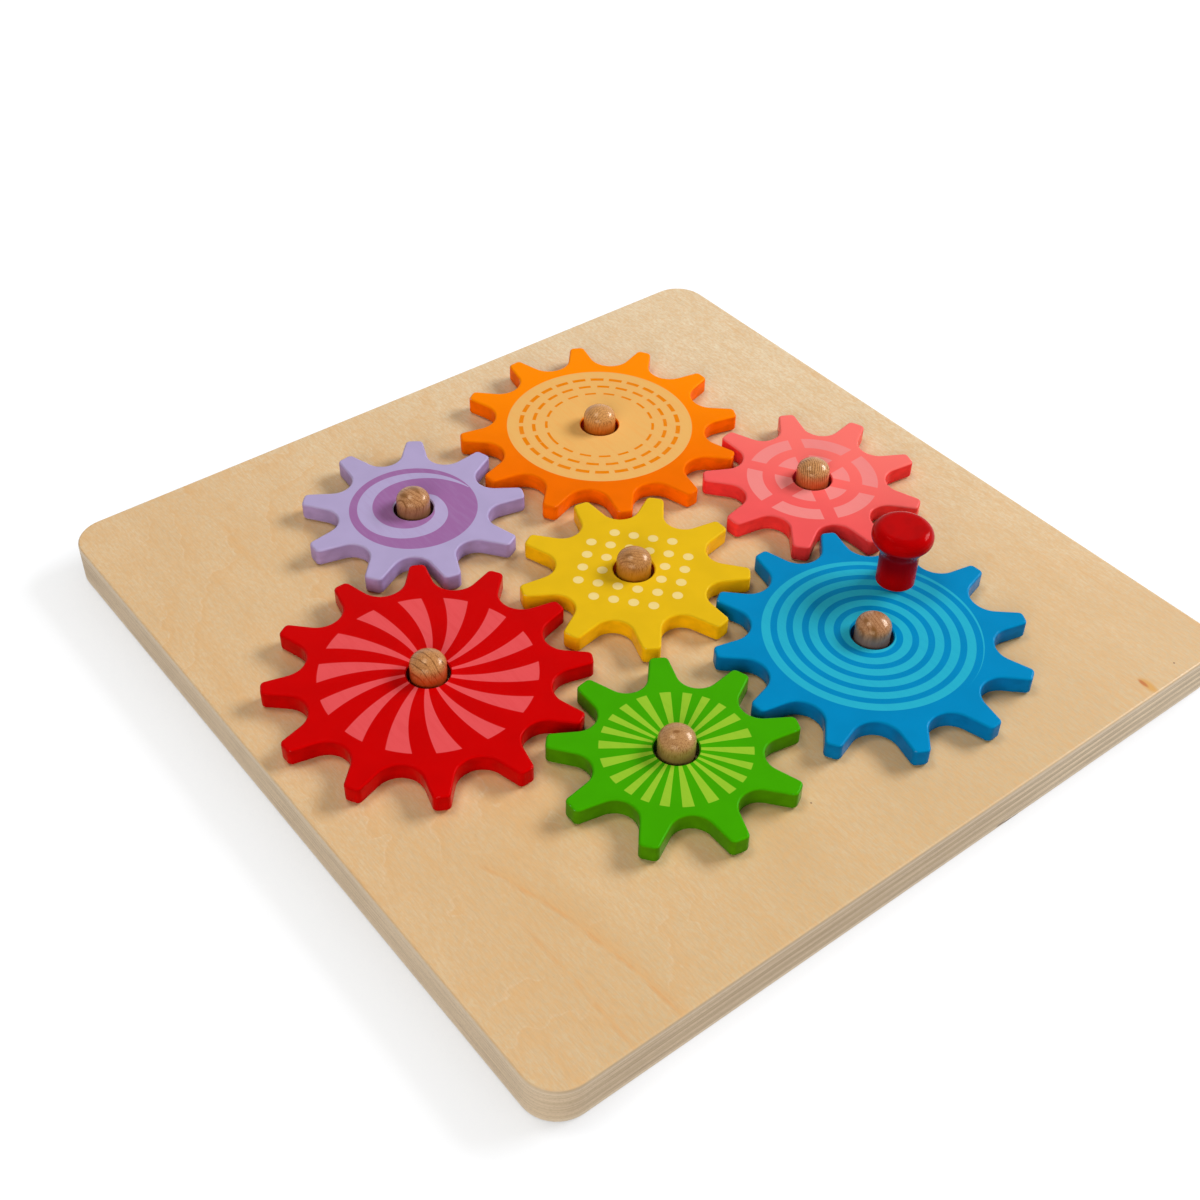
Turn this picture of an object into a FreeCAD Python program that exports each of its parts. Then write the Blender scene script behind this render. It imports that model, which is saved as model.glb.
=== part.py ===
import FreeCAD
import Part
import Sketcher
import math
import os

# Crank gear toy: a plywood board with seven dowel pegs, a loose wooden gear on each peg
# and a turned knob on one gear. Millimetres, +Z up, origin at the centre of the underside.

doc = FreeCAD.newDocument("crank_gear_toy")
sizes = doc.addObject("Spreadsheet::Sheet", "Sizes")

DRIVING_SIZES = [
    # board: nine glued plies, square with rounded corners
    ("board_side", 285.0),
    ("corner_round", 12.0),
    ("face_ply", 1.9),
    ("core_ply", 1.6),
    ("board_edge_round", 0.8),
    # pegs: turned dowel with a domed top
    ("peg_dia", 12.0),
    ("peg_stand", 14.5),
    ("peg_crown_radius", 8.0),
    ("peg_shoulder_round", 3.5),
    ("peg_foot_chamfer", 0.8),
    ("glue_gap", 0.05),
    # layout of the pegs: one in the middle, six round it
    ("layout_x", 1.3),
    ("layout_y", 1.3),
    ("gear_module", 8.0),
    ("big_teeth", 12),
    ("small_teeth", 9),
    # teeth
    ("big_addendum", 5.0),
    ("small_addendum", 4.0),
    ("tip_gap", 4.0),
    ("big_gullet_radius", 8.0),
    ("small_gullet_radius", 7.0),
    ("big_gap_lean", 28.6),
    ("small_gap_lean", 30.7),
    ("tip_round", 1.8),
    # gear discs
    ("gear_thick", 6.5),
    ("gear_edge_round", 0.8),
    ("hub_clearance", 1.15),
    ("hub_edge_chamfer", 0.4),
    ("run_gap", 0.3),
    # crank knob
    ("knob_arm", 30.0),
    ("knob_bearing", 28.0),
    ("stem_dia", 13.4),
    ("stem_straight", 12.6),
    ("head_dia", 20.9),
    ("flare_rise", 5.6),
    ("head_thick", 4.8),
    ("neck_round", 5.0),
    ("head_under_round", 2.5),
    ("head_top_round", 3.6),
    ("tenon_dia", 8.0),
    ("tenon_short", 0.3),
    # rest angle of one tooth of each gear, from +X
    ("yellow_rest", 39.7),
    ("pink_rest", 21.0),
    ("orange_rest", 2.0),
    ("purple_rest", 16.4),
    ("red_rest", 0.6),
    ("green_rest", 18.4),
    ("blue_rest", 2.0),
]

CORE_PLIES = 7

WORKED_OUT = [
    ("board_thick", "2 * face_ply + %d * core_ply" % CORE_PLIES),
    ("peg_socket_floor", "face_ply + core_ply"),
    ("peg_long", "board_thick - peg_socket_floor + peg_stand"),
    ("peg_hole_dia", "peg_dia + 2 * glue_gap"),
    ("big_pitch_radius", "gear_module * big_teeth / 2"),
    ("small_pitch_radius", "gear_module * small_teeth / 2"),
    ("centre_distance", "big_pitch_radius + small_pitch_radius"),
    ("big_tip_radius", "big_pitch_radius + big_addendum"),
    ("small_tip_radius", "small_pitch_radius + small_addendum"),
    ("big_root_radius", "centre_distance - small_tip_radius - tip_gap"),
    ("small_root_radius", "centre_distance - big_tip_radius - tip_gap"),
    ("hub_dia", "peg_dia + 2 * hub_clearance"),
    ("gear_floor", "board_thick + run_gap"),
    ("knob_socket_dia", "tenon_dia + 2 * glue_gap"),
    ("tenon_long", "gear_thick - tenon_short"),
    ("knob_rise", "stem_straight + flare_rise + head_thick"),
]

# Gears by colour: which size it is, and where its peg stands round the middle one
GEARS = [
    ("yellow", "small", None),
    ("pink", "small", 0),
    ("orange", "big", 60),
    ("purple", "small", 120),
    ("red", "big", 180),
    ("green", "small", 240),
    ("blue", "big", 300),
]


def fill_sheet():
    """Write every driving size, then the sizes worked out from them."""
    row = 1
    for alias, value in DRIVING_SIZES:
        sizes.set("A%d" % row, alias)
        sizes.set("B%d" % row, str(value))
        sizes.setAlias("B%d" % row, alias)
        row += 1
    for alias, formula in WORKED_OUT:
        sizes.set("A%d" % row, alias)
        sizes.set("B%d" % row, "=" + formula)
        sizes.setAlias("B%d" % row, alias)
        row += 1
    doc.recompute()


def size(alias):
    return float(sizes.get(alias))


def new_body(label):
    body = doc.addObject("PartDesign::Body", label)
    body.Label = label
    return body


def new_sketch(body, role, name):
    """A sketch on one of the body's own origin planes."""
    sketch = body.newObject("Sketcher::SketchObject", name)
    plane = [f for f in body.Origin.OriginFeatures if f.Role == role][0]
    sketch.AttachmentSupport = [(plane, "")]
    sketch.MapMode = "FlatFace"
    return sketch


def dimension(sketch, name, formula, *constraint):
    """A named constraint whose value follows the sheet."""
    index = sketch.addConstraint(Sketcher.Constraint(*constraint))
    sketch.renameConstraint(index, name)
    sketch.setExpression("Constraints." + name, formula)


def point(x, y):
    return FreeCAD.Vector(x, y, 0)


def circle_at_origin(sketch, name, formula, radius):
    index = sketch.addGeometry(Part.Circle(point(0, 0), FreeCAD.Vector(0, 0, 1), radius))
    sketch.addConstraint(Sketcher.Constraint("Coincident", index, 3, -1, 1))
    dimension(sketch, name, formula, "Radius", index, radius)


def closed_outline(sketch, corners):
    """Straight edges through the corners, joined end to end."""
    count = len(corners)
    for i in range(count):
        sketch.addGeometry(Part.LineSegment(point(*corners[i]), point(*corners[(i + 1) % count])))
    for i in range(count):
        sketch.addConstraint(Sketcher.Constraint("Coincident", i, 2, (i + 1) % count, 1))


def pad(body, sketch, length):
    feature = body.newObject("PartDesign::Pad", "Pad")
    feature.Profile = sketch
    feature.setExpression("Length", length)
    doc.recompute()
    return feature


def cut_through(body, sketch, name):
    """Cut the sketch right through, whichever way the solid lies."""
    before = body.Shape.Volume
    feature = body.newObject("PartDesign::Pocket", name)
    feature.Profile = sketch
    feature.Type = "ThroughAll"
    feature.Midplane = True
    doc.recompute()
    if not body.Shape.Volume < before:
        raise RuntimeError(body.Label + ": " + name + " cuts nothing")
    return feature


def round_edges(body, base, names, radius):
    feature = body.newObject("PartDesign::Fillet", "Fillet")
    feature.Base = (base, names)
    feature.setExpression("Radius", radius)
    doc.recompute()
    return feature


def bevel_edges(body, base, names, width):
    feature = body.newObject("PartDesign::Chamfer", "Chamfer")
    feature.Base = (base, names)
    feature.setExpression("Size", width)
    doc.recompute()
    return feature


def edges_where(shape, wanted):
    return ["Edge%d" % (i + 1) for i, edge in enumerate(shape.Edges) if wanted(edge)]


def flat_face(shape, height):
    """Name of the largest level face at a height."""
    best = None
    for i, face in enumerate(shape.Faces):
        level = abs(face.BoundBox.ZMin - height) < 1e-6 and abs(face.BoundBox.ZMax - height) < 1e-6
        if level and (best is None or face.Area > best[1]):
            best = ("Face%d" % (i + 1), face.Area)
    return best[0]


def is_upright(edge):
    return edge.BoundBox.ZLength > 0.5 and edge.BoundBox.XLength + edge.BoundBox.YLength < 1e-6


def ring_edge(radius, low, high):
    """Test for a level circular edge of a radius between two heights."""
    def wanted(edge):
        box = edge.BoundBox
        level = box.ZLength < 1e-6 and low - 1e-6 < box.ZMin < high + 1e-6
        return level and abs(box.XLength - 2 * radius) < 1e-3
    return wanted


def peg_formulas(bearing):
    """Where a peg stands, as sheet formulas for x and y."""
    if bearing is None:
        return "Sizes.layout_x", "Sizes.layout_y"
    x = "Sizes.layout_x + Sizes.centre_distance * cos(%d deg)" % bearing
    y = "Sizes.layout_y + Sizes.centre_distance * sin(%d deg)" % bearing
    return x, y


def peg_place(bearing):
    x = size("layout_x")
    y = size("layout_y")
    if bearing is not None:
        x += size("centre_distance") * math.cos(math.radians(bearing))
        y += size("centre_distance") * math.sin(math.radians(bearing))
    return x, y


def build_ply(label, thickness, height, drilled, outer_side):
    """One veneer of the board. The upper ones are drilled for the pegs, and the two face
    veneers have their outer edge rounded."""
    body = new_body(label)
    outline = new_sketch(body, "XY_Plane", "Outline")
    half = size("board_side") / 2
    closed_outline(outline, [(-half, -half), (half, -half), (half, half), (-half, half)])
    for side, direction in enumerate(["Horizontal", "Vertical", "Horizontal", "Vertical"]):
        outline.addConstraint(Sketcher.Constraint(direction, side))
    outline.addConstraint(Sketcher.Constraint("Symmetric", 0, 1, 1, 2, -1, 1))
    dimension(outline, "along", "Sizes.board_side", "DistanceX", 0, 1, 0, 2, 2 * half)
    dimension(outline, "across", "Sizes.board_side", "DistanceY", 1, 1, 1, 2, 2 * half)
    slab = pad(body, outline, thickness)
    top = round_edges(body, slab, edges_where(slab.Shape, is_upright), "Sizes.corner_round")
    if outer_side:
        level = slab.Shape.BoundBox.ZMax if outer_side == "top" else 0.0
        top = round_edges(body, top, [flat_face(top.Shape, level)], "Sizes.board_edge_round")
    if drilled:
        holes = new_sketch(body, "XY_Plane", "Holes")
        for i, (_, _, bearing) in enumerate(GEARS):
            x, y = peg_place(bearing)
            formula_x, formula_y = peg_formulas(bearing)
            radius = size("peg_hole_dia") / 2
            holes.addGeometry(Part.Circle(point(x, y), FreeCAD.Vector(0, 0, 1), radius))
            dimension(holes, "x%d" % i, formula_x, "DistanceX", -1, 1, i, 3, x)
            dimension(holes, "y%d" % i, formula_y, "DistanceY", -1, 1, i, 3, y)
            dimension(holes, "bore%d" % i, "Sizes.peg_hole_dia / 2", "Radius", i, radius)
        cut_through(body, holes, "Drilling")
    body.setExpression("Placement.Base.z", height)
    return body


def build_board():
    plies = [build_ply("bottom_face_ply", "Sizes.face_ply", "0 mm", False, "bottom")]
    for number in range(1, CORE_PLIES + 1):
        height = "Sizes.face_ply + %d * Sizes.core_ply" % (number - 1)
        plies.append(build_ply("core_ply_%d" % number, "Sizes.core_ply", height, number > 1, None))
    height = "Sizes.face_ply + %d * Sizes.core_ply" % CORE_PLIES
    plies.append(build_ply("top_face_ply", "Sizes.face_ply", height, True, "top"))
    return plies


def build_peg(colour, bearing):
    """A turned dowel: chamfered foot, straight side, crowned and rounded top."""
    body = new_body("peg_" + colour)
    profile = new_sketch(body, "XZ_Plane", "Profile")
    radius = size("peg_dia") / 2
    long = size("peg_long")
    crown = size("peg_crown_radius")
    rim = long - crown + math.sqrt(crown ** 2 - radius ** 2)
    profile.addGeometry(Part.LineSegment(point(0, long), point(0, 0)))
    profile.addGeometry(Part.LineSegment(point(0, 0), point(radius, 0)))
    profile.addGeometry(Part.LineSegment(point(radius, 0), point(radius, rim)))
    dome = Part.Circle(point(0, long - crown), FreeCAD.Vector(0, 0, 1), crown)
    start = math.atan2(rim - long + crown, radius)
    profile.addGeometry(Part.ArcOfCircle(dome, start, math.pi / 2))
    profile.addConstraint(Sketcher.Constraint("Coincident", 0, 2, 1, 1))
    profile.addConstraint(Sketcher.Constraint("Coincident", 1, 2, 2, 1))
    profile.addConstraint(Sketcher.Constraint("Coincident", 2, 2, 3, 1))
    profile.addConstraint(Sketcher.Constraint("Coincident", 3, 2, 0, 1))
    profile.addConstraint(Sketcher.Constraint("Coincident", 0, 2, -1, 1))
    profile.addConstraint(Sketcher.Constraint("PointOnObject", 0, 1, -2))
    profile.addConstraint(Sketcher.Constraint("PointOnObject", 3, 3, -2))
    profile.addConstraint(Sketcher.Constraint("Horizontal", 1))
    profile.addConstraint(Sketcher.Constraint("Vertical", 2))
    dimension(profile, "radius", "Sizes.peg_dia / 2", "DistanceX", 1, 1, 1, 2, radius)
    dimension(profile, "long", "Sizes.peg_long", "DistanceY", 0, 2, 0, 1, long)
    dimension(profile, "crown", "Sizes.peg_crown_radius", "Radius", 3, crown)
    turned = body.newObject("PartDesign::Revolution", "Turned")
    turned.Profile = profile
    turned.ReferenceAxis = (profile, ["V_Axis"])
    turned.Angle = 360
    doc.recompute()
    shoulder = edges_where(turned.Shape, ring_edge(radius, rim - 0.01, rim + 0.01))
    rounded = round_edges(body, turned, shoulder, "Sizes.peg_shoulder_round")
    foot = edges_where(rounded.Shape, ring_edge(radius, 0, 0))
    bevel_edges(body, rounded, foot, "Sizes.peg_foot_chamfer")
    formula_x, formula_y = peg_formulas(bearing)
    body.setExpression("Placement.Base.x", formula_x)
    body.setExpression("Placement.Base.y", formula_y)
    body.setExpression("Placement.Base.z", "Sizes.peg_socket_floor")
    return body


def draw_tooth_gap(sketch, kind):
    """A round-bottomed gap that opens outwards past the tips, centred on +X."""
    gullet = size(kind + "_gullet_radius")
    middle = size(kind + "_root_radius") + gullet
    beyond = size(kind + "_tip_radius") + gullet
    lean = math.radians(size(kind + "_gap_lean"))
    touch_x = middle - gullet * math.sin(lean)
    touch_y = gullet * math.cos(lean)
    mouth = touch_y + (beyond - touch_x) * math.tan(lean)
    bottom = Part.Circle(point(middle, 0), FreeCAD.Vector(0, 0, 1), gullet)
    sketch.addGeometry(Part.ArcOfCircle(bottom, math.pi / 2 + lean, 1.5 * math.pi - lean))
    sketch.addGeometry(Part.LineSegment(point(touch_x, -touch_y), point(beyond, -mouth)))
    sketch.addGeometry(Part.LineSegment(point(beyond, -mouth), point(beyond, mouth)))
    sketch.addGeometry(Part.LineSegment(point(beyond, mouth), point(touch_x, touch_y)))
    sketch.addConstraint(Sketcher.Constraint("Tangent", 0, 2, 1, 1))
    sketch.addConstraint(Sketcher.Constraint("Coincident", 1, 2, 2, 1))
    sketch.addConstraint(Sketcher.Constraint("Coincident", 2, 2, 3, 1))
    sketch.addConstraint(Sketcher.Constraint("Tangent", 3, 2, 0, 1))
    sketch.addConstraint(Sketcher.Constraint("PointOnObject", 0, 3, -1))
    sketch.addConstraint(Sketcher.Constraint("Symmetric", 1, 2, 2, 2, -1))
    root = "Sizes.%s_root_radius + Sizes.%s_gullet_radius" % (kind, kind)
    reach = "Sizes.%s_tip_radius + Sizes.%s_gullet_radius" % (kind, kind)
    dimension(sketch, "middle", root, "DistanceX", -1, 1, 0, 3, middle)
    dimension(sketch, "beyond", reach, "DistanceX", -1, 1, 1, 2, beyond)
    dimension(sketch, "gullet", "Sizes.%s_gullet_radius" % kind, "Radius", 0, gullet)
    opening = "2 * Sizes.%s_gap_lean * 1 deg" % kind
    dimension(sketch, "opening", opening, "Angle", 1, 1, 3, 2, 2 * lean)


def build_gear(colour, kind, bearing):
    """A toothed disc: gaps cut round it, tips and rims rounded, and a hub hole with room to
    spin round the peg."""
    body = new_body("gear_" + colour)
    teeth = int(size(kind + "_teeth"))
    tip_radius = size(kind + "_tip_radius")
    blank = new_sketch(body, "XY_Plane", "Blank")
    circle_at_origin(blank, "tips", "Sizes.%s_tip_radius" % kind, tip_radius)
    pad(body, blank, "Sizes.gear_thick")
    gap = new_sketch(body, "XY_Plane", "ToothGap")
    draw_tooth_gap(gap, kind)
    first_gap = cut_through(body, gap, "FirstGap")
    round_disc = body.newObject("PartDesign::PolarPattern", "Gaps")
    round_disc.Originals = [first_gap]
    round_disc.Axis = (gap, ["N_Axis"])
    round_disc.Angle = 360
    round_disc.setExpression("Occurrences", "Sizes.%s_teeth" % kind)
    body.Tip = round_disc
    doc.recompute()

    def at_tip(edge):
        start = edge.Vertexes[0].Point
        return is_upright(edge) and abs(math.hypot(start.x, start.y) - tip_radius) < 1e-3

    corners = edges_where(round_disc.Shape, at_tip)
    if len(corners) != 2 * teeth:
        raise RuntimeError(body.Label + ": teeth are not whole")
    tips = round_edges(body, round_disc, corners, "Sizes.tip_round")
    faces = [flat_face(tips.Shape, 0.0), flat_face(tips.Shape, size("gear_thick"))]
    round_edges(body, tips, faces, "Sizes.gear_edge_round")
    hub = new_sketch(body, "XY_Plane", "Hub")
    circle_at_origin(hub, "bore", "Sizes.hub_dia / 2", size("hub_dia") / 2)
    bored = cut_through(body, hub, "HubHole")
    bore_edges = edges_where(bored.Shape, ring_edge(size("hub_dia") / 2, 0, size("gear_thick")))
    bevel_edges(body, bored, bore_edges, "Sizes.hub_edge_chamfer")
    formula_x, formula_y = peg_formulas(bearing)
    body.setExpression("Placement.Base.x", formula_x)
    body.setExpression("Placement.Base.y", formula_y)
    body.setExpression("Placement.Base.z", "Sizes.gear_floor")
    body.Placement.Rotation = FreeCAD.Rotation(FreeCAD.Vector(0, 0, 1), 1)
    turn = "Sizes.%s_rest * 1 deg + 180 deg / Sizes.%s_teeth" % (colour, kind)
    body.setExpression("Placement.Rotation.Angle", turn)
    return body


def build_knob(gear_colour, gear_bearing):
    """The crank: a turned mushroom knob whose tenon is glued into the gear."""
    body = new_body("crank_knob")
    profile = new_sketch(body, "XZ_Plane", "Profile")
    tenon = size("tenon_dia") / 2
    stem = size("stem_dia") / 2
    head = size("head_dia") / 2
    foot = -size("tenon_long")
    neck = size("stem_straight")
    flare_top = neck + size("flare_rise")
    top = size("knob_rise")
    corners = [
        (0, foot),
        (tenon, foot),
        (tenon, 0),
        (stem, 0),
        (stem, neck),
        (head, flare_top),
        (head, top),
        (0, top),
    ]
    closed_outline(profile, corners)
    for level_side in (0, 2, 6):
        profile.addConstraint(Sketcher.Constraint("Horizontal", level_side))
    for upright_side in (1, 3, 5):
        profile.addConstraint(Sketcher.Constraint("Vertical", upright_side))
    profile.addConstraint(Sketcher.Constraint("PointOnObject", 0, 1, -2))
    profile.addConstraint(Sketcher.Constraint("PointOnObject", 6, 2, -2))
    profile.addConstraint(Sketcher.Constraint("PointOnObject", 2, 1, -1))
    dimension(profile, "tenon", "Sizes.tenon_dia / 2", "DistanceX", -1, 1, 1, 1, tenon)
    dimension(profile, "stem", "Sizes.stem_dia / 2", "DistanceX", -1, 1, 3, 1, stem)
    dimension(profile, "head", "Sizes.head_dia / 2", "DistanceX", -1, 1, 5, 1, head)
    dimension(profile, "foot", "Sizes.tenon_long", "DistanceY", 0, 1, -1, 1, -foot)
    dimension(profile, "neck", "Sizes.stem_straight", "DistanceY", 3, 1, 3, 2, neck)
    dimension(profile, "flare", "Sizes.flare_rise", "DistanceY", 4, 1, 4, 2, flare_top - neck)
    dimension(profile, "rise", "Sizes.knob_rise", "DistanceY", -1, 1, 5, 2, top)
    turned = body.newObject("PartDesign::Revolution", "Turned")
    turned.Profile = profile
    turned.ReferenceAxis = (profile, ["V_Axis"])
    turned.Angle = 360
    doc.recompute()
    rounds = [
        (head, top, "Sizes.head_top_round"),
        (head, flare_top, "Sizes.head_under_round"),
        (stem, neck, "Sizes.neck_round"),
    ]
    latest = turned
    for radius, level, formula in rounds:
        edges = edges_where(latest.Shape, ring_edge(radius, level, level))
        latest = round_edges(body, latest, edges, formula)
    gear_x, gear_y = peg_formulas(gear_bearing)
    bearing = "(Sizes.%s_rest * 1 deg + Sizes.knob_bearing * 1 deg)" % gear_colour
    body.setExpression("Placement.Base.x", "%s + Sizes.knob_arm * cos%s" % (gear_x, bearing))
    body.setExpression("Placement.Base.y", "%s + Sizes.knob_arm * sin%s" % (gear_y, bearing))
    body.setExpression("Placement.Base.z", "Sizes.gear_floor + Sizes.gear_thick")
    return body


def drill_knob_socket(gear, kind):
    """The hole in a gear that takes the knob's tenon, measured from the tooth at its rest angle."""
    arm = size("knob_arm")
    bearing = math.radians(size("knob_bearing") - 180 / size(kind + "_teeth"))
    turn = "(Sizes.knob_bearing * 1 deg - 180 deg / Sizes.%s_teeth)" % kind
    radius = size("knob_socket_dia") / 2
    x = arm * math.cos(bearing)
    y = arm * math.sin(bearing)
    socket = new_sketch(gear, "XY_Plane", "KnobSocket")
    socket.addGeometry(Part.Circle(point(x, y), FreeCAD.Vector(0, 0, 1), radius))
    dimension(socket, "x", "Sizes.knob_arm * cos" + turn, "DistanceX", -1, 1, 0, 3, x)
    dimension(socket, "y", "Sizes.knob_arm * sin" + turn, "DistanceY", -1, 1, 0, 3, y)
    dimension(socket, "bore", "Sizes.knob_socket_dia / 2", "Radius", 0, radius)
    cut_through(gear, socket, "KnobSocketHole")


def check_document():
    for item in doc.Objects:
        if "Invalid" in item.State or "Error" in item.State:
            raise RuntimeError("%s failed: %s" % (item.Label, item.State))


def write_parts(bodies):
    os.makedirs("parts", exist_ok=True)
    for body in bodies:
        shape = body.Shape
        if shape.isNull() or not shape.isValid() or len(shape.Solids) != 1:
            raise RuntimeError(body.Label + " is not one valid solid")
        shape.exportStep(os.path.join("parts", body.Label + ".step"))
        box = shape.BoundBox
        print("%-18s volume %10.1f  z %6.2f to %6.2f" % (body.Label, shape.Volume, box.ZMin, box.ZMax))


fill_sheet()
pieces = build_board()
for colour, kind, bearing in GEARS:
    pieces.append(build_peg(colour, bearing))
for colour, kind, bearing in GEARS:
    gear = build_gear(colour, kind, bearing)
    if colour == "blue":
        drill_knob_socket(gear, kind)
        pieces.append(build_knob(colour, bearing))
    pieces.append(gear)
doc.recompute()
check_document()
write_parts(pieces)
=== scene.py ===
import math

import bpy
from mathutils import Matrix, Vector

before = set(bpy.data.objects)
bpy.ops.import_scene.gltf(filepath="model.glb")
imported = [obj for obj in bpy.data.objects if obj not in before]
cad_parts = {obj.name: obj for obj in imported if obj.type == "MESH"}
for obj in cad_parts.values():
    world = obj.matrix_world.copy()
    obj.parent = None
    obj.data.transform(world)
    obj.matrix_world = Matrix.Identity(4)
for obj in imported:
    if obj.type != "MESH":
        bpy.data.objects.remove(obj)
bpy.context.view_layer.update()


# ---------------------------------------------------------------------------------------------
# Board. Nine birch veneers glued face to face with their grain crossed in turn, sawn square,
# corners rounded and rims sanded, then clear varnished. The bare cut edge shows every layer.

MM = 0.001
BOARD_HALF = 142.5
BOARD_THICK = 15.0
FACE_PLY = 1.9
CORE_PLY = 1.6
# how dark each crossed core veneer's sawn edge is in front, and 0 for the long-grain ones
CORE_CROSSED = (0.60, 0, 1.00, 0, 1.25, 0, 0.85)
FACE_PALE = (0.712, 0.522, 0.294)
FACE_TAN = (0.640, 0.440, 0.222)
FACE_LINE = (0.520, 0.290, 0.120)
FACE_SHEEN = (0.815, 0.700, 0.495)
FLAME_PALE = (0.760, 0.580, 0.370)
FLAME_WARM = (0.705, 0.402, 0.155)
FRONT_DARKER = (0.620, 0.470, 0.270)
STREAK = (0.690, 0.320, 0.095)
RESIN = (0.640, 0.320, 0.060)
RESIN_DARK = (0.480, 0.130, 0.018)
PIN_SPECK = (0.150, 0.045, 0.020)
CUT_PALE = (0.740, 0.590, 0.418)
CUT_DARK = (0.550, 0.425, 0.280)
CUT_LIGHT = (1.000, 0.830, 0.600)
GLUE_LINE = (0.330, 0.240, 0.160)
RIM_WARM_AND_SHADE = (0.420, 0.285, 0.150)
KNOT = (0.085, 0.050, 0.032)


class Finish:
    """One finish: its node tree, its colour so far, and short ways to add a node."""

    def __init__(self, name, colour):
        self.material = bpy.data.materials.new(name)
        self.material.use_nodes = True
        self.tree = self.material.node_tree
        self.shader = self.tree.nodes["Principled BSDF"]
        self.colour = colour

    def wire(self, value, socket):
        """Link another node's output to a socket, or set the socket to a plain value."""
        if isinstance(value, bpy.types.NodeSocket):
            self.tree.links.new(value, socket)
        elif isinstance(value, tuple) and len(value) == 3 and socket.type == "RGBA":
            socket.default_value = value + (1.0,)
        else:
            socket.default_value = value

    def node(self, kind, inputs=(), **settings):
        made = self.tree.nodes.new("ShaderNode" + kind)
        for name, value in settings.items():
            setattr(made, name, value)
        for name, value in dict(inputs).items():
            self.wire(value, made.inputs[name])
        return made

    def maths(self, operation, *terms):
        return self.node("Math", enumerate(terms), operation=operation).outputs[0]

    def plus(self, first, second):
        return self.maths("ADD", first, second)

    def minus(self, first, second):
        return self.maths("SUBTRACT", first, second)

    def times(self, first, second):
        return self.maths("MULTIPLY", first, second)

    def blend(self, amount, first, second):
        """Colours mixed by an amount from 0, the first, to 1, the second."""
        return self.node("Mix", {0: amount, 6: first, 7: second}, data_type="RGBA").outputs[2]

    def cover(self, amount, tint):
        """Lay a tint over the colour so far, by an amount from 0 to 1."""
        self.colour = self.blend(amount, self.colour, tint)

    def place(self, centre=(0, 0, 0), turn=0.0, stretch=(1, 1, 1)):
        """Object coordinates in millimetres about a centre, turned and stretched to suit."""
        inputs = {
            "Vector": self.node("TexCoord").outputs["Object"],
            "Location": tuple(c * MM for c in centre),
            "Rotation": (0, 0, turn),
            "Scale": tuple(s * MM for s in stretch),
        }
        return self.node("Mapping", inputs, vector_type="TEXTURE").outputs[0]

    def mottle(self, where, detail=2.0, rough=0.5):
        """Soft random patches about one unit of `where` across, 0 to 1."""
        inputs = {"Vector": where, "Scale": 1.0, "Detail": detail, "Roughness": rough}
        return self.node("TexNoise", inputs).outputs["Fac"]

    def ramp(self, value, low, high, to_low=0.0, to_high=1.0):
        """A value eased from one range to another, and held at its ends."""
        inputs = {
            "Value": value, "From Min": low, "From Max": high, "To Min": to_low, "To Max": to_high,
        }
        return self.node("MapRange", inputs, interpolation_type="SMOOTHSTEP").outputs["Result"]

    def relief(self, height, depth, strength):
        """Bump from a height of 0 to 1, `depth` millimetres deep."""
        inputs = {"Height": height, "Strength": strength, "Distance": depth * MM}
        return self.node("Bump", inputs).outputs["Normal"]

    def spot(self, where, ragged, most):
        """A spot that reaches one unit of `where` from its centre, its rim broken by a noise."""
        reach = self.node("VectorMath", {0: where}, operation="LENGTH").outputs["Value"]
        return self.ramp(self.plus(reach, self.times(ragged, 0.5)), 0.7, 1.35, most, 0.0)

    def apart(self, vector):
        """The X, Y and Z of a vector."""
        return list(self.node("SeparateXYZ", {"Vector": vector}).outputs)

    def facing(self):
        """How far the surface faces along X, along Y and up or down, each 0 to 1."""
        normal = self.apart(self.node("NewGeometry").outputs["Normal"])
        return [self.maths("ABSOLUTE", part) for part in normal]

    def done(self, roughness, normal, **sockets):
        """Wire up the shader, and hand over the material."""
        self.wire(self.colour, self.shader.inputs["Base Color"])
        self.wire(roughness, self.shader.inputs["Roughness"])
        self.wire(normal, self.shader.inputs["Normal"])
        for name, value in sockets.items():
            self.wire(value, self.shader.inputs[name.replace("_", " ")])
        return self.material


def flame_figure(wood, x, y, leftward, ragged):
    """Ragged level lines across the grain, each pale with a warm band beside it."""
    rise = wood.minus(wood.times(x, 0.045), wood.times(y, 0.030))
    slow = wood.mottle(wood.place(centre=(-60, 25, 0), stretch=(34, 52, 34)), detail=0.0)
    rise = wood.plus(rise, wood.times(slow, 4.5))
    rise = wood.plus(rise, wood.times(ragged, 1.15))
    level = wood.maths("FRACT", rise)
    flamed = wood.ramp(leftward, -50.0, -10.0, 1.0, 0.08)
    patches = wood.mottle(wood.place(centre=(7, 3, 0), stretch=(22, 28, 22)))
    shown = wood.times(flamed, wood.ramp(patches, 0.38, 0.60))
    most = 0.42
    warm = wood.times(wood.ramp(level, 0.06, 0.12), wood.ramp(level, 0.12, 0.60, 1.0, 0.0))
    wood.cover(wood.times(wood.times(warm, shown), most), FLAME_WARM)
    pale = wood.times(wood.ramp(level, 0.0, 0.04), wood.ramp(level, 0.05, 0.11, 1.0, 0.0))
    wood.cover(wood.times(wood.times(pale, shown), most), FLAME_PALE)


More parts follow.
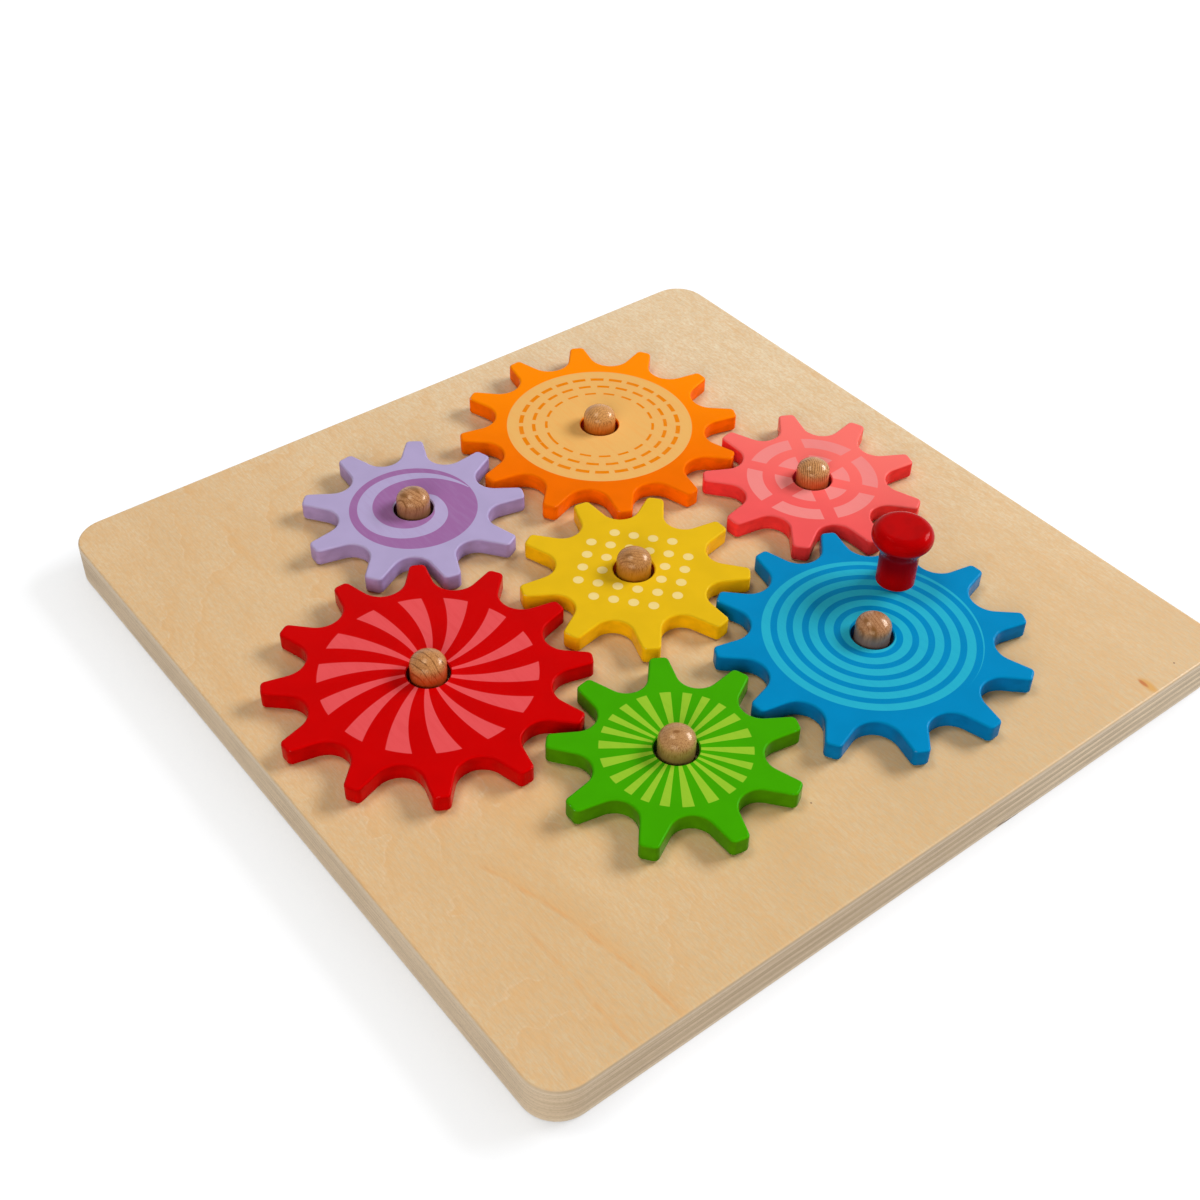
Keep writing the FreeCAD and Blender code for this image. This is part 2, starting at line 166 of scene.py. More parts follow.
def front_streaks(wood, x, y, ragged):
    """Two warm streaks that run out at the front edge, each with a dark line down one side."""
    bow = wood.times(wood.maths("POWER", wood.plus(y, 140.0), 2.0), 0.0026)
    wander = wood.times(wood.mottle(wood.place(stretch=(8, 26, 8)), detail=1.0), 2.0)
    # where each lies along X, its bow, where it fades out along Y, its width and its strength
    for side, bend, reach, wide, most in (
        (-99.0, bow, -68.0, 5.5, 0.55),
        (-115.0, 0.0, -92.0, 1.8, 0.35),
    ):
        off = wood.minus(wood.plus(wood.minus(x, side), bend), wander)
        near = wood.ramp(y, reach - 9.0, reach + 9.0, 1.0, 0.0)
        band = wood.times(wood.ramp(off, -0.2, 0.3), wood.ramp(off, 0.3, wide, most, 0.0))
        wood.cover(wood.times(band, near), FLAME_WARM)
        thin = wood.ramp(wood.maths("ABSOLUTE", off), 0.35, 1.1, 1.10 * most, 0.0)
        thin = wood.times(thin, wood.ramp(ragged, 0.42, 0.60, 0.25, 1.0))
        wood.cover(wood.times(thin, near), STREAK)
        beside = wood.maths("ABSOLUTE", wood.plus(off, 1.4))
        sliver = wood.ramp(beside, 0.2, 0.7, 0.20 * most, 0.0)
        wood.cover(wood.times(sliver, near), FLAME_PALE)


def resin_marks(wood, ragged):
    """One resin streak by the front edge, dark in its middle, and two pin specks."""
    for x, y, half_wide, half_long, tint, most in (
        (103.7, -138.4, 2.0, 4.8, RESIN, 0.90),
        (103.2, -136.8, 0.9, 2.5, RESIN_DARK, 0.90),
        (119.1, -136.9, 0.4, 0.4, PIN_SPECK, 0.90),
        (-18.6, -108.6, 0.35, 0.4, PIN_SPECK, 0.80),
    ):
        middle = (x, y, BOARD_THICK)
        mark = wood.place(centre=middle, turn=math.radians(-4), stretch=(half_wide, half_long, 4))
        wood.cover(wood.spot(mark, ragged, most), tint)


def edge_knot(wood, ragged):
    """One small dark knot cut through by the saw, low on the front edge."""
    dark = 0.0
    for x, z in ((31.5, 1.4), (34.6, 0.9), (37.6, 0.6)):
        lump = wood.place(centre=(x, -BOARD_HALF, z), stretch=(2.3, 2.0, 0.50))
        dark = wood.maths("MAXIMUM", wood.spot(lump, ragged, 0.9), dark)
    return dark


def sanded_rim(wood, x, z, speckle, fibre):
    """Sanding rounds the face off into bare cut edge, which the varnish warms at the top, with
    painted light and shade along the front edge.
    """
    _, along, level = wood.facing()
    cut = wood.blend(wood.ramp(speckle, 0.40, 0.75, 0.25, 0.55), CUT_PALE, CUT_DARK)
    # painted light: the front edge paler towards its right end, where the window lamp reaches it
    lit_and_paler = wood.times(along, wood.ramp(x, -10.0, 100.0, 0.0, 0.10))
    cut = wood.blend(lit_and_paler, cut, CUT_LIGHT)
    # painted shade darkens the top of the front edge most towards its left end, over the varnish's
    # even warming
    front_shade = wood.times(along, wood.ramp(x, -30.0, 90.0, 0.48, 0.05))
    warm_and_shade = wood.times(wood.ramp(z, 13.0, 14.4), wood.plus(front_shade, 0.13))
    cut = wood.blend(warm_and_shade, cut, RIM_WARM_AND_SHADE)
    # painted shade over the rounded rim of the front edge, most towards its right end, where the
    # window lamp would glint
    rim_shade = wood.times(wood.ramp(level, 0.25, 0.50), along)
    rim_shade = wood.times(rim_shade, wood.ramp(x, 20.0, 110.0, 0.45, 0.66))
    cut = wood.blend(rim_shade, cut, RIM_WARM_AND_SHADE)
    cut = wood.blend(edge_knot(wood, fibre), cut, KNOT)
    wood.colour = wood.blend(wood.ramp(level, 0.45, 0.97), cut, wood.colour)


def birch_face():
    """Rotary-cut birch: flame figure towards one side, straight grain towards the other."""
    wood = Finish("birch_face", FACE_PALE)
    clouds = wood.mottle(wood.place(stretch=(26, 70, 26)), detail=3.0, rough=0.55)
    wood.cover(wood.ramp(clouds, 0.33, 0.68), FACE_TAN)
    # painted sheen: the sheet is painted paler towards its back right corner, where it would
    # reflect the pale room; it is also darker along the front
    x, y, z = wood.apart(wood.place())
    lean = wood.plus(wood.times(x, 1.1), y)
    wood.cover(wood.ramp(lean, -60.0, 240.0, 0.0, 0.82), FACE_SHEEN)
    wood.cover(wood.ramp(y, -142.0, -92.0, 0.55, 0.0), FRONT_DARKER)
    # painted shadow: a soft darker patch by the front edge, where the gears' shadows fall
    gear_shadow = wood.place(centre=(48, -126, 0), stretch=(62, 34, 99))
    wood.cover(wood.spot(gear_shadow, clouds, 0.50), FRONT_DARKER)
    dapple = wood.place(centre=(9, 4, 0), stretch=(4.5, 8, 4.5))
    dapple = wood.mottle(dapple, detail=3.0, rough=0.6)
    wood.cover(wood.ramp(dapple, 0.38, 0.66, 0.0, 0.30), FACE_TAN)
    leftward = wood.minus(x, wood.times(y, 0.34))
    wood.cover(wood.ramp(leftward, -130.0, -40.0, 0.32, 0.0), FLAME_PALE)
    ragged = wood.mottle(wood.place(centre=(5, 9, 0), stretch=(7, 7, 7)), detail=1.5)
    flame_figure(wood, x, y, leftward, ragged)
    # long warm streaks with the grain
    streak = wood.mottle(wood.place(centre=(15, -40, 0), stretch=(5, 60, 5)))
    wood.cover(wood.ramp(streak, 0.56, 0.74, 0.0, 0.38), FLAME_WARM)
    front_streaks(wood, x, y, ragged)
    # fine straight lines, short fibres, speckles between them and a few dark flecks
    line = wood.mottle(wood.place(centre=(2, 8, 0), stretch=(0.9, 45, 0.9)), detail=1.0)
    wood.cover(wood.ramp(line, 0.58, 0.74, 0.0, 0.12), FACE_LINE)
    fibre = wood.mottle(wood.place(stretch=(0.42, 3.6, 0.42)), detail=3.0, rough=0.65)
    wood.cover(wood.ramp(fibre, 0.34, 0.72, 0.0, 0.35), FACE_LINE)
    speckle = wood.mottle(wood.place(centre=(8, 2, 0), stretch=(0.9, 1.6, 0.9)), rough=0.7)
    wood.cover(wood.ramp(speckle, 0.30, 0.70, 0.0, 0.52), FLAME_WARM)
    fleck = wood.mottle(wood.place(centre=(3, 1, 0), stretch=(0.4, 2.0, 0.4)), detail=1.0)
    wood.cover(wood.ramp(fleck, 0.72, 0.80, 0.0, 0.30), FACE_LINE)
    resin_marks(wood, fibre)
    sanded_rim(wood, x, z, speckle, fibre)
    roughness = wood.ramp(fibre, 0.3, 0.8, 0.36, 0.46)
    bump = wood.relief(wood.plus(fibre, wood.times(clouds, 0.3)), 0.04, 0.3)
    return wood.done(roughness, bump, Specular_IOR_Level=0.42)


def birch_cut(name, crossed, floor):
    """The sawn edge of one core veneer. The crossed plies show darker on two sides."""
    wood = Finish(name, CUT_PALE)
    across, along, _ = wood.facing()
    patches = wood.mottle(wood.place(centre=(20, 5, 0), stretch=(50, 50, 50)))
    x, _, height = wood.apart(wood.place())
    if crossed:
        dark = wood.ramp(along, 0.2, 0.8, 0.10, crossed)
        dark = wood.times(dark, wood.ramp(x, -120.0, 10.0, 0.60, 1.10))
        brightest = 0.18
    else:
        dark = wood.ramp(across, 0.2, 0.8, 0.0, 0.16)
        brightest = 0.56
    wood.cover(wood.times(dark, wood.ramp(patches, 0.35, 0.62, 0.70, 1.0)), CUT_DARK)
    # painted light makes the front edge paler towards its right end, where the window lamp reaches
    # it; every edge is also a little paler towards the top
    lit_and_paler = wood.times(along, wood.ramp(x, -35.0, 110.0, 0.0, brightest))
    lit_and_paler = wood.plus(lit_and_paler, wood.ramp(height, 10.5, 13.5, 0.0, 0.13))
    wood.cover(lit_and_paler, CUT_LIGHT)
    # painted shade: the front edge darker towards its left end, away from the window lamp
    wood.cover(wood.times(along, wood.ramp(x, -30.0, 90.0, 0.24, 0.05)), RIM_WARM_AND_SHADE)
    streaks = wood.mottle(wood.place(stretch=(22, 22, 0.35)), detail=3.0, rough=0.6)
    wood.cover(wood.ramp(streaks, 0.40, 0.70, 0.0, 0.46), GLUE_LINE)
    pores = wood.mottle(wood.place(stretch=(0.7, 0.7, 0.35)), rough=0.6)
    wood.cover(wood.ramp(pores, 0.46, 0.78, 0.0, 0.36), GLUE_LINE)
    half = CORE_PLY / 2
    off_middle = wood.maths("ABSOLUTE", wood.minus(height, floor + half))
    glue = wood.ramp(off_middle, half - 0.20, half, 0.0, 0.55)
    wood.cover(wood.times(glue, wood.ramp(patches, 0.40, 0.60)), GLUE_LINE)
    bump = wood.relief(wood.plus(streaks, pores), 0.05, 0.4)
    return wood.done(0.62, bump, Specular_IOR_Level=0.2)


def dress(node_name, material):
    """Give a finished CAD piece its material."""
    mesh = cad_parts[node_name].data
    mesh.materials.clear()
    mesh.materials.append(material)


face_finish = birch_face()
dress("top_face_ply", face_finish)
dress("bottom_face_ply", face_finish)
for number, crossed in enumerate(CORE_CROSSED, start=1):
    ply = "core_ply_%d" % number
    dress(ply, birch_cut(ply + "_edge", crossed, FACE_PLY + (number - 1) * CORE_PLY))


# ---------------------------------------------------------------------------------------------
# Pegs. Seven lengths of hardwood dowel with turned domes, clear varnished and glued into the
# board. The grain runs up each peg and closes in rings over its dome.

LAYOUT = (1.3, 1.3)
PEG_SPACING = 84.0
# each peg's bearing round the middle one, the tone of its wood, where its heart lies (distance
# and bearing), its growth lines to the millimetre, how dark and how steep they are, its gear's
# colour painted onto its foot as reflection and shade, and the stains on its dome (place and
# reach)
PEGS = {
    "yellow": dict(
        bearing=None, tone=(0.506, 0.233, 0.072), heart=(9.0, 46), lines=0.90, dark=0.65,
        steep=0.10, gear_reflection=(0.500, 0.195, 0.001), stains=((-2.6, -0.1, 1.8),),
    ),
    "pink": dict(
        bearing=0, tone=(0.625, 0.300, 0.112), heart=(10.7, 155), lines=1.30, dark=1.15,
        steep=0.10, gear_reflection=(0.560, 0.085, 0.022), stains=(),
    ),
    "orange": dict(
        bearing=60, tone=(0.672, 0.320, 0.095), heart=(12.4, 264), lines=1.00, dark=0.55,
        steep=0.10, gear_reflection=(0.500, 0.110, 0.001), stains=(),
    ),
    "purple": dict(
        bearing=120, tone=(0.490, 0.238, 0.100), heart=(9.0, 12), lines=0.70, dark=0.95,
        steep=0.10, gear_reflection=(0.265, 0.110, 0.055),
        stains=((-3.4, 0.2, 2.1), (1.3, 1.0, 3.0), (1.3, -1.5, 1.3)),
    ),
    "red": dict(
        bearing=180, tone=(0.540, 0.240, 0.080), heart=(12.0, 190), lines=0.42, dark=1.30,
        steep=0.45, gear_reflection=(0.510, 0.045, 0.004), stains=(),
    ),
    "green": dict(
        bearing=240, tone=(0.490, 0.262, 0.104), heart=(12.4, 230), lines=0.80, dark=0.22,
        steep=0.10, gear_reflection=(0.210, 0.150, 0.034), stains=((-0.6, -0.2, 1.5),),
    ),
    "blue": dict(
        bearing=300, tone=(0.440, 0.212, 0.098), heart=(9.0, 339), lines=0.80, dark=0.75,
        steep=0.10, gear_reflection=(0.170, 0.140, 0.135), stains=((-3.7, -3.6, 2.2), (-3.1, 0.9, 1.6)),
    ),
}
DOWEL_DARK = (0.200, 0.070, 0.016)
DOWEL_STAIN = (0.220, 0.085, 0.018)
REFLECTION_FULL_BELOW, REFLECTION_NONE_ABOVE = 22.4, 28.4


def peg_centre(colour):
    """Where a peg stands on the board, in millimetres."""
    x, y = LAYOUT
    bearing = PEGS[colour]["bearing"]
    if bearing is not None:
        x += PEG_SPACING * math.cos(math.radians(bearing))
        y += PEG_SPACING * math.sin(math.radians(bearing))
    return x, y


def dowel_finish(colour):
    """Varnished hardwood: thin growth lines about a heart beside the peg, and short pores."""
    peg = PEGS[colour]
    wood = Finish("dowel_" + colour, peg["tone"])
    x, y = peg_centre(colour)
    away, bearing = peg["heart"]
    turn = math.radians(bearing)
    heart = (x + away * math.cos(turn), y + away * math.sin(turn), 0)
    a, b, height = wood.apart(wood.place(centre=heart))
    radius = wood.maths("SQRT", wood.plus(wood.times(a, a), wood.times(b, b)))
    radius = wood.plus(radius, wood.times(height, peg["steep"]))
    wander = wood.mottle(wood.place(centre=(x, y, 0), stretch=(5, 5, 18)), detail=0.6)
    lines = peg["lines"]
    rings = wood.plus(wood.times(radius, lines), wood.times(wander, 2.6 * lines))
    ring = wood.maths("FRACT", rings)
    darkening = wood.ramp(ring, 0.90 - 0.42 * lines, 0.92)
    late = wood.times(darkening, wood.ramp(ring, 0.94, 1.0, 1.0, 0.0))
    patches = wood.mottle(wood.place(centre=(x, y, 9), stretch=(3, 3, 5)))
    broken = wood.times(wood.ramp(patches, 0.30, 0.60, 0.15, 1.0), peg["dark"])
    wood.cover(wood.maths("MINIMUM", wood.times(late, broken), 0.95), DOWEL_DARK)
    pores = wood.mottle(wood.place(centre=(x, y, 0), stretch=(0.30, 0.30, 1.8)), rough=0.6)
    wood.cover(wood.ramp(pores, 0.44, 0.68, 0.0, 0.70), DOWEL_DARK)
    spread = turn + math.radians(90)
    for aside, beyond, wide in peg["stains"]:
        middle = (x + aside, y + beyond, 0)
        stain = wood.place(centre=middle, turn=spread, stretch=(wide, 0.55 * wide, 99))
        wood.cover(wood.spot(stain, pores, 0.90), DOWEL_STAIN)
    # painted reflection and shade: the gear's colour laid over the foot of the peg, fading upwards
    rising = wood.plus(height, wood.times(wander, 2.0))
    wood.cover(wood.ramp(rising, REFLECTION_FULL_BELOW, REFLECTION_NONE_ABOVE, 0.90, 0.0), peg["gear_reflection"])
    return wood.done(
        0.22, wood.relief(pores, 0.04, 0.35), Specular_IOR_Level=0.3,
        Specular_Tint=(1.0, 0.75, 0.50), Coat_Weight=0.06, Coat_Roughness=0.05,
    )


for colour in PEGS:
    dress("peg_" + colour, dowel_finish(colour))


# ---------------------------------------------------------------------------------------------
# Gears. Seven discs of birch ply sawn to teeth, sanded round at the rims, dipped in satin
# paint and screen printed on top with a plain pattern. Each drops loosely over its peg.

GEAR_TOP = 21.8
GEAR_THICK = 6.5
# walls nearer to the peg's middle than this are the bore's
BORE_REACH = 7.9
# half the width over which a printed edge fades out
INK_SOFT = 0.12
# each gear's rest angle of one tooth from X, its radius at the tips, the paint on its sawn
# walls, and the painted shade in its bore
GEARS = {
    "yellow": (39.7, 40.0, (0.930, 0.500, 0.003), (0.420, 0.050, 0.003)),
    "pink": (21.0, 40.0, (0.900, 0.042, 0.040), (0.500, 0.012, 0.025)),
    "orange": (2.0, 53.0, (1.000, 0.160, 0.0005), (0.460, 0.020, 0.003)),
    "purple": (16.4, 40.0, (0.400, 0.290, 0.560), (0.070, 0.012, 0.040)),
    "red": (0.6, 53.0, (0.530, 0.0003, 0.0003), (0.110, 0.0005, 0.001)),
    "green": (18.4, 40.0, (0.066, 0.240, 0.0003), (0.006, 0.045, 0.001)),
    "blue": (2.0, 53.0, (0.001, 0.168, 0.440), (0.001, 0.022, 0.080)),
}


class Paint(Finish):
    """Satin paint on one gear, with polar coordinates about its hub for the print."""

    def __init__(self, colour, paint, gloss_tint, gloss=0.045, painted_sheen=None):
        super().__init__(colour + "_paint_finish", paint)
        self.gloss_tint = gloss_tint
        self.gloss = gloss
        self.rest, tip_radius, wall_paint, bore_shade = GEARS[colour]
        x, y = peg_centre(colour)
        turned = self.place(centre=(x, y, 0), turn=math.radians(self.rest))
        self.x, self.y, self.z = self.apart(turned)
        squares = self.plus(self.times(self.x, self.x), self.times(self.y, self.y))
        self.radius = self.maths("SQRT", squares)
        self.angle = self.maths("DEGREES", self.maths("ARCTAN2", self.y, self.x))
        grained = self.place(centre=(x, y, 0), stretch=(1.2, 9.0, 4.0))
        self.grain = self.mottle(grained, detail=3.0)
        clouds = self.mottle(self.place(centre=(x, y, 5), stretch=(12, 12, 12)))
        self.cover(self.ramp(clouds, 0.3, 0.7, 0.0, 0.5), tuple(c * 0.88 for c in paint))
        if painted_sheen:
            # painted sheen: one side of this gear is painted lighter, where light from behind
            # would catch it
            tone, bearing = painted_sheen
            across = self.times(self.x, math.cos(math.radians(bearing)))
            across = self.plus(across, self.times(self.y, math.sin(math.radians(bearing))))
            reach = 0.85 * tip_radius
            self.cover(self.ramp(across, -reach, reach), tone)
        # the sawn walls take their own paint unevenly, and painted shade darkens them along their
        # lower rims
        level = self.facing()[2]
        wall = self.ramp(level, 0.15, 0.80, 1.0, 0.0)
        self.cover(wall, wall_paint)
        blotch = self.mottle(self.place(centre=(x, y, 0), stretch=(5.0, 5.0, 3.0)))
        low = self.ramp(self.z, GEAR_TOP - GEAR_THICK, GEAR_TOP - 4.0, 0.30, 0.0)
        blotch_and_shade = self.plus(low, self.ramp(blotch, 0.35, 0.70, 0.0, 0.28))
        self.cover(self.times(wall, blotch_and_shade), tuple(c * 0.50 for c in wall_paint))
        # painted shade: the bore round the peg is painted dark
        self.cover(self.times(wall, self.below(self.radius, BORE_REACH, 0.2)), bore_shade)
        # handling has worn small pale chips along the rims
        rim = self.times(self.ramp(level, 0.30, 0.55), self.ramp(level, 0.80, 0.96, 1.0, 0.0))
        chips = self.mottle(self.place(centre=(x, y, 3), stretch=(1.5, 1.5, 1.0)), rough=0.6)
        rim = self.times(rim, self.ramp(chips, 0.64, 0.74, 0.0, 0.40))
        rim = self.times(rim, self.ramp(self.radius, tip_radius - 3.0, tip_radius - 1.0))
        self.cover(rim, tuple(0.45 * c + 0.40 for c in paint))
        self.top = self.ramp(level, 0.93, 0.99)

    def bearing(self):
        """Degrees round the hub from the board's X."""
        return self.plus(self.angle, self.rest)

    def below(self, value, limit, soft=INK_SOFT):
        """1 where a value is under a limit, with a soft edge."""
        return self.ramp(value, limit - soft, limit + soft, 1.0, 0.0)

    def above(self, value, limit, soft=INK_SOFT):
        """1 where a value is over a limit, with a soft edge."""
        return self.ramp(value, limit - soft, limit + soft)

    def between(self, value, low, high, soft=INK_SOFT):
        return self.times(self.above(value, low, soft), self.below(value, high, soft))

    def print_on(self, mask, ink):
        """Ink laid on the flat of the top face, where the mask is 1."""
        upper = self.ramp(self.z, GEAR_TOP - 1.0, GEAR_TOP - 0.5)
        covered = self.times(self.times(mask, upper), self.top)
        thin = self.ramp(self.grain, 0.25, 0.60, 0.90, 1.0)
        self.cover(self.times(covered, thin), ink)

    def finish(self):
        roughness = self.ramp(self.grain, 0.3, 0.8, 0.17, 0.23)
        skin = self.mottle(self.place(stretch=(3.0, 3.0, 3.0)))
        bump = self.relief(self.plus(self.times(self.grain, 0.25), skin), 0.04, 0.25)
        return self.done(
            roughness, bump, Specular_IOR_Level=self.gloss, Specular_Tint=self.gloss_tint
        )


def orange_gear_paint():
    """Orange, with a peach disc and three stitched rings."""
    sheen_side = ((1.000, 0.258, 0.0005), 52)
    paint = Paint("orange", (0.885, 0.152, 0.0005), (1.0, 0.50, 0.05), 0.02, sheen_side)
    peach = (0.815, 0.448, 0.130)
    stitching = (0.800, 0.215, 0.0005)
    disc_radius = 35.1
    paint.print_on(paint.below(paint.radius, disc_radius), peach)
    # the rings' stitches are counted from a seam at this bearing
    seam = 170.7
    turned = paint.maths("FLOORED_MODULO", paint.minus(paint.angle, seam - paint.rest), 360.0)
    # each ring's radius and width, the degrees from stitch to stitch, the share of them that
    # is filled, and the bearing of the first stitch
    for ring, stroke, pitch, filled, first in (
        (29.8, 1.65, 13.846, 0.71, 178.4),
        (25.0, 1.35, 16.6, 0.65, 176.3),
        (20.2, 1.05, 20.5, 0.60, 176.0),
    ):
        off = paint.maths("ABSOLUTE", paint.minus(paint.radius, ring))
        steps = paint.maths("DIVIDE", paint.minus(turned, first - seam), pitch)
        along = paint.maths("FRACT", paint.plus(steps, 0.5))
        soft = INK_SOFT / (ring * math.radians(pitch))
        stitch = paint.between(along, 0.5 - filled / 2, 0.5 + filled / 2, soft)
        paint.print_on(paint.times(paint.below(off, stroke / 2), stitch), stitching)
    return paint.finish()


def blue_gear_paint():
    """Blue, with one long pale spiral wound from the rim to the hub."""
    paint = Paint("blue", (0.001, 0.238, 0.510), (0.02, 0.50, 1.0))
    pale_blue = (0.020, 0.415, 0.575)
    print_radius = 36.5
    pitch = 5.2
    arm_width = 3.1
    # radius at which the outermost turn's inner side crosses X
    arm_starts = 35.3
    turns = paint.maths("DIVIDE", paint.bearing(), 360.0)
    wound = paint.plus(paint.maths("DIVIDE", paint.radius, pitch), turns)
    along = paint.maths("FRACT", paint.minus(wound, arm_starts / pitch))
    soft = INK_SOFT / pitch
    arm = paint.between(along, soft, arm_width / pitch, soft)
    arm = paint.times(arm, paint.below(paint.radius, print_radius))
    paint.print_on(arm, pale_blue)
    return paint.finish()


def red_gear_paint():
    """Red, with fourteen swept pink blades."""
    paint = Paint("red", (0.585, 0.0006, 0.0008), (1.0, 0.05, 0.05))
    pale_red = (0.775, 0.086, 0.092)
    print_radius = 35.3
    blades = 14
    # the first blade's bearing at its tip, and the degrees that a blade sweeps per millimetre
    first_blade = 15.5
    tip_radius = 35.0
    swept = 0.525
    sweep = paint.times(paint.minus(paint.radius, tip_radius), swept)
    straight = paint.minus(paint.bearing(), sweep)
    steps = paint.maths("DIVIDE", paint.minus(straight, first_blade), 360 / blades)
    along = paint.maths("FRACT", paint.plus(steps, 0.5))
    off = paint.maths("ABSOLUTE", paint.minus(along, 0.5))
    # each blade narrows towards the hub, and their widths swell and shrink four times round
    four = paint.maths("RADIANS", paint.times(paint.minus(straight, 93.0), 4.0))
    swell = paint.minus(1.0, paint.times(paint.maths("COSINE", four), 0.12))
    half = paint.plus(0.143, paint.times(paint.radius, 0.00283))
    blade = paint.below(paint.minus(off, paint.times(half, swell)), 0.0, 0.01)
    blade = paint.times(blade, paint.below(paint.radius, print_radius))
    paint.print_on(blade, pale_red)
    return paint.finish()


def green_gear_paint():
    """Green, with twenty-two straight pale rays."""
    paint = Paint("green", (0.050, 0.367, 0.0006), (0.20, 1.0, 0.05))
    lime = (0.300, 0.540, 0.029)
    print_radius = 23.8
    rays = 22
    # the first ray's bearing, as a share of the step from ray to ray
    first_ray = 0.67
    bearing = paint.bearing()
    # the rays stand closer and farther apart four times round
    four = paint.maths("RADIANS", paint.times(paint.minus(bearing, 68.0), 4.0))
    eased = paint.minus(bearing, paint.times(paint.maths("SINE", four), 2.3))
    steps = paint.maths("DIVIDE", eased, 360 / rays)
    along = paint.maths("FRACT", paint.plus(steps, 0.5 - first_ray))
    off = paint.maths("ABSOLUTE", paint.minus(along, 0.5))
    ray = paint.ramp(off, 0.225, 0.245, 1.0, 0.0)
    paint.print_on(paint.times(ray, paint.below(paint.radius, print_radius)), lime)
    return paint.finish()


def pink_gear_paint():
    """Pink, with a pale broken ring round six pale wedges."""
    sheen_side = ((0.930, 0.172, 0.144), 5)
    paint = Paint("pink", (0.875, 0.096, 0.096), (1.0, 0.45, 0.45), painted_sheen=sheen_side)
    blush = (0.860, 0.245, 0.230)
    pieces = 6
    # bearing of the middle of one piece
    piece_middle = 33.0
    ring_inside, ring_outside, wedge_radius = 18.2, 23.9, 13.7
    half_ring_gap, half_wedge_gap = 2.5, 2.55
    turned = paint.minus(paint.bearing(), piece_middle)
    sector = paint.maths("FLOORED_MODULO", turned, 360 / pieces)
    lean = paint.maths("RADIANS", paint.minus(sector, 180 / pieces))
    aside = paint.maths("ABSOLUTE", paint.times(paint.radius, paint.maths("SINE", lean)))
    ring = paint.between(paint.radius, ring_inside, ring_outside)
    ring = paint.times(ring, paint.above(aside, half_ring_gap))
    wedge = paint.below(paint.radius, wedge_radius)
    wedge = paint.times(wedge, paint.above(aside, half_wedge_gap))
    paint.print_on(paint.maths("MAXIMUM", ring, wedge), blush)
    return paint.finish()


def yellow_gear_paint():
    """Yellow, with pale dots on a square lattice, bare in the middle and at its corners."""
    paint = Paint("yellow", (0.780, 0.478, 0.008), (1.0, 0.80, 0.15))
    cream = (0.840, 0.650, 0.240)
    pitch = 6.85
    dot_radius = 1.8
    squares = []
    for across in (paint.x, paint.y):
        step = paint.minus(paint.maths("FRACT", paint.maths("DIVIDE", across, pitch)), 0.5)
        squares.append(paint.times(step, step))
    off = paint.times(paint.maths("SQRT", paint.plus(*squares)), pitch)
    far = [paint.maths("ABSOLUTE", across) for across in (paint.x, paint.y)]
    largest = paint.maths("MAXIMUM", *far)
    smallest = paint.maths("MINIMUM", *far)
    # the lattice is six by six, less the four dots in its middle and the one at each corner
    kept = paint.between(largest, pitch, 3 * pitch)
    kept = paint.times(kept, paint.below(smallest, 2 * pitch))
    paint.print_on(paint.times(paint.below(off, dot_radius), kept), cream)
    return paint.finish()


def purple_gear_paint():
    """Lavender, with a darker disc that a lavender arm winds through."""
    lavender = (0.440, 0.366, 0.595)
    paint = Paint("purple", lavender, (0.80, 0.75, 1.0))
    plum = (0.325, 0.137, 0.338)
    disc_radius = 22.8
    paint.print_on(paint.below(paint.radius, disc_radius), plum)
    # the arm starts at the disc's rim at this bearing
    seam = -5
    around = paint.maths("FLOORED_MODULO", paint.minus(paint.bearing(), seam), 360.0)
    # the arm's outer and inner radius at bearings round the hub, from the seam on
    outer_marks = (
        (-5, 22.6), (30, 20.7), (60, 20.0), (120, 20.1), (180, 19.4), (210, 18.1),
        (240, 16.6), (270, 15.2), (300, 13.4), (330, 11.5), (355, 10.4),
    )
    inner_marks = (
        (-5, 22.3), (30, 18.3), (60, 16.4), (120, 15.1), (180, 13.7), (210, 12.5),
        (240, 11.2), (270, 9.6), (300, 8.3), (330, 7.1), (355, 6.8),
    )
    curve_top = 25.0
    edges = []
    for marks in (outer_marks, inner_marks):
        curve = paint.node("FloatCurve", {"Value": paint.maths("DIVIDE", around, 360.0)})
        line = curve.mapping.curves[0]
        for number, (angle, radius) in enumerate(marks):
            mark = ((angle - seam) / 360, radius / curve_top)
            if number < 2:
                line.points[number].location = mark
            else:
                line.points.new(*mark)
        curve.mapping.update()
        edges.append(paint.times(curve.outputs[0], curve_top))
    outside = paint.minus(paint.radius, edges[0])
    inside = paint.minus(edges[1], paint.radius)
    arm = paint.times(paint.below(outside, 0.0), paint.below(inside, 0.0))
    # its inner end runs on round the hub into the hole
    run_on = 55.0
    past_end = paint.minus(paint.radius, paint.ramp(around, 0.0, run_on, 10.4, 7.5))
    end = paint.times(paint.below(past_end, 0.0), paint.below(around, run_on))
    paint.print_on(paint.maths("MAXIMUM", arm, end), lavender)
    return paint.finish()


for colour, recipe in (
    ("orange", orange_gear_paint), ("blue", blue_gear_paint), ("red", red_gear_paint),
    ("green", green_gear_paint), ("pink", pink_gear_paint), ("yellow", yellow_gear_paint),
    ("purple", purple_gear_paint),
):
    dress("gear_" + colour, recipe())


# ---------------------------------------------------------------------------------------------
# Crank knob. One turned piece of hardwood with a mushroom head, dipped in gloss red lacquer,
# its tenon glued into the blue gear.

LACQUER = (0.485, 0.0005, 0.001)
LACQUER_DEEP = (0.405, 0.0005, 0.001)
LACQUER_UNDER_HEAD_SHADE = (0.120, 0.0005, 0.004)


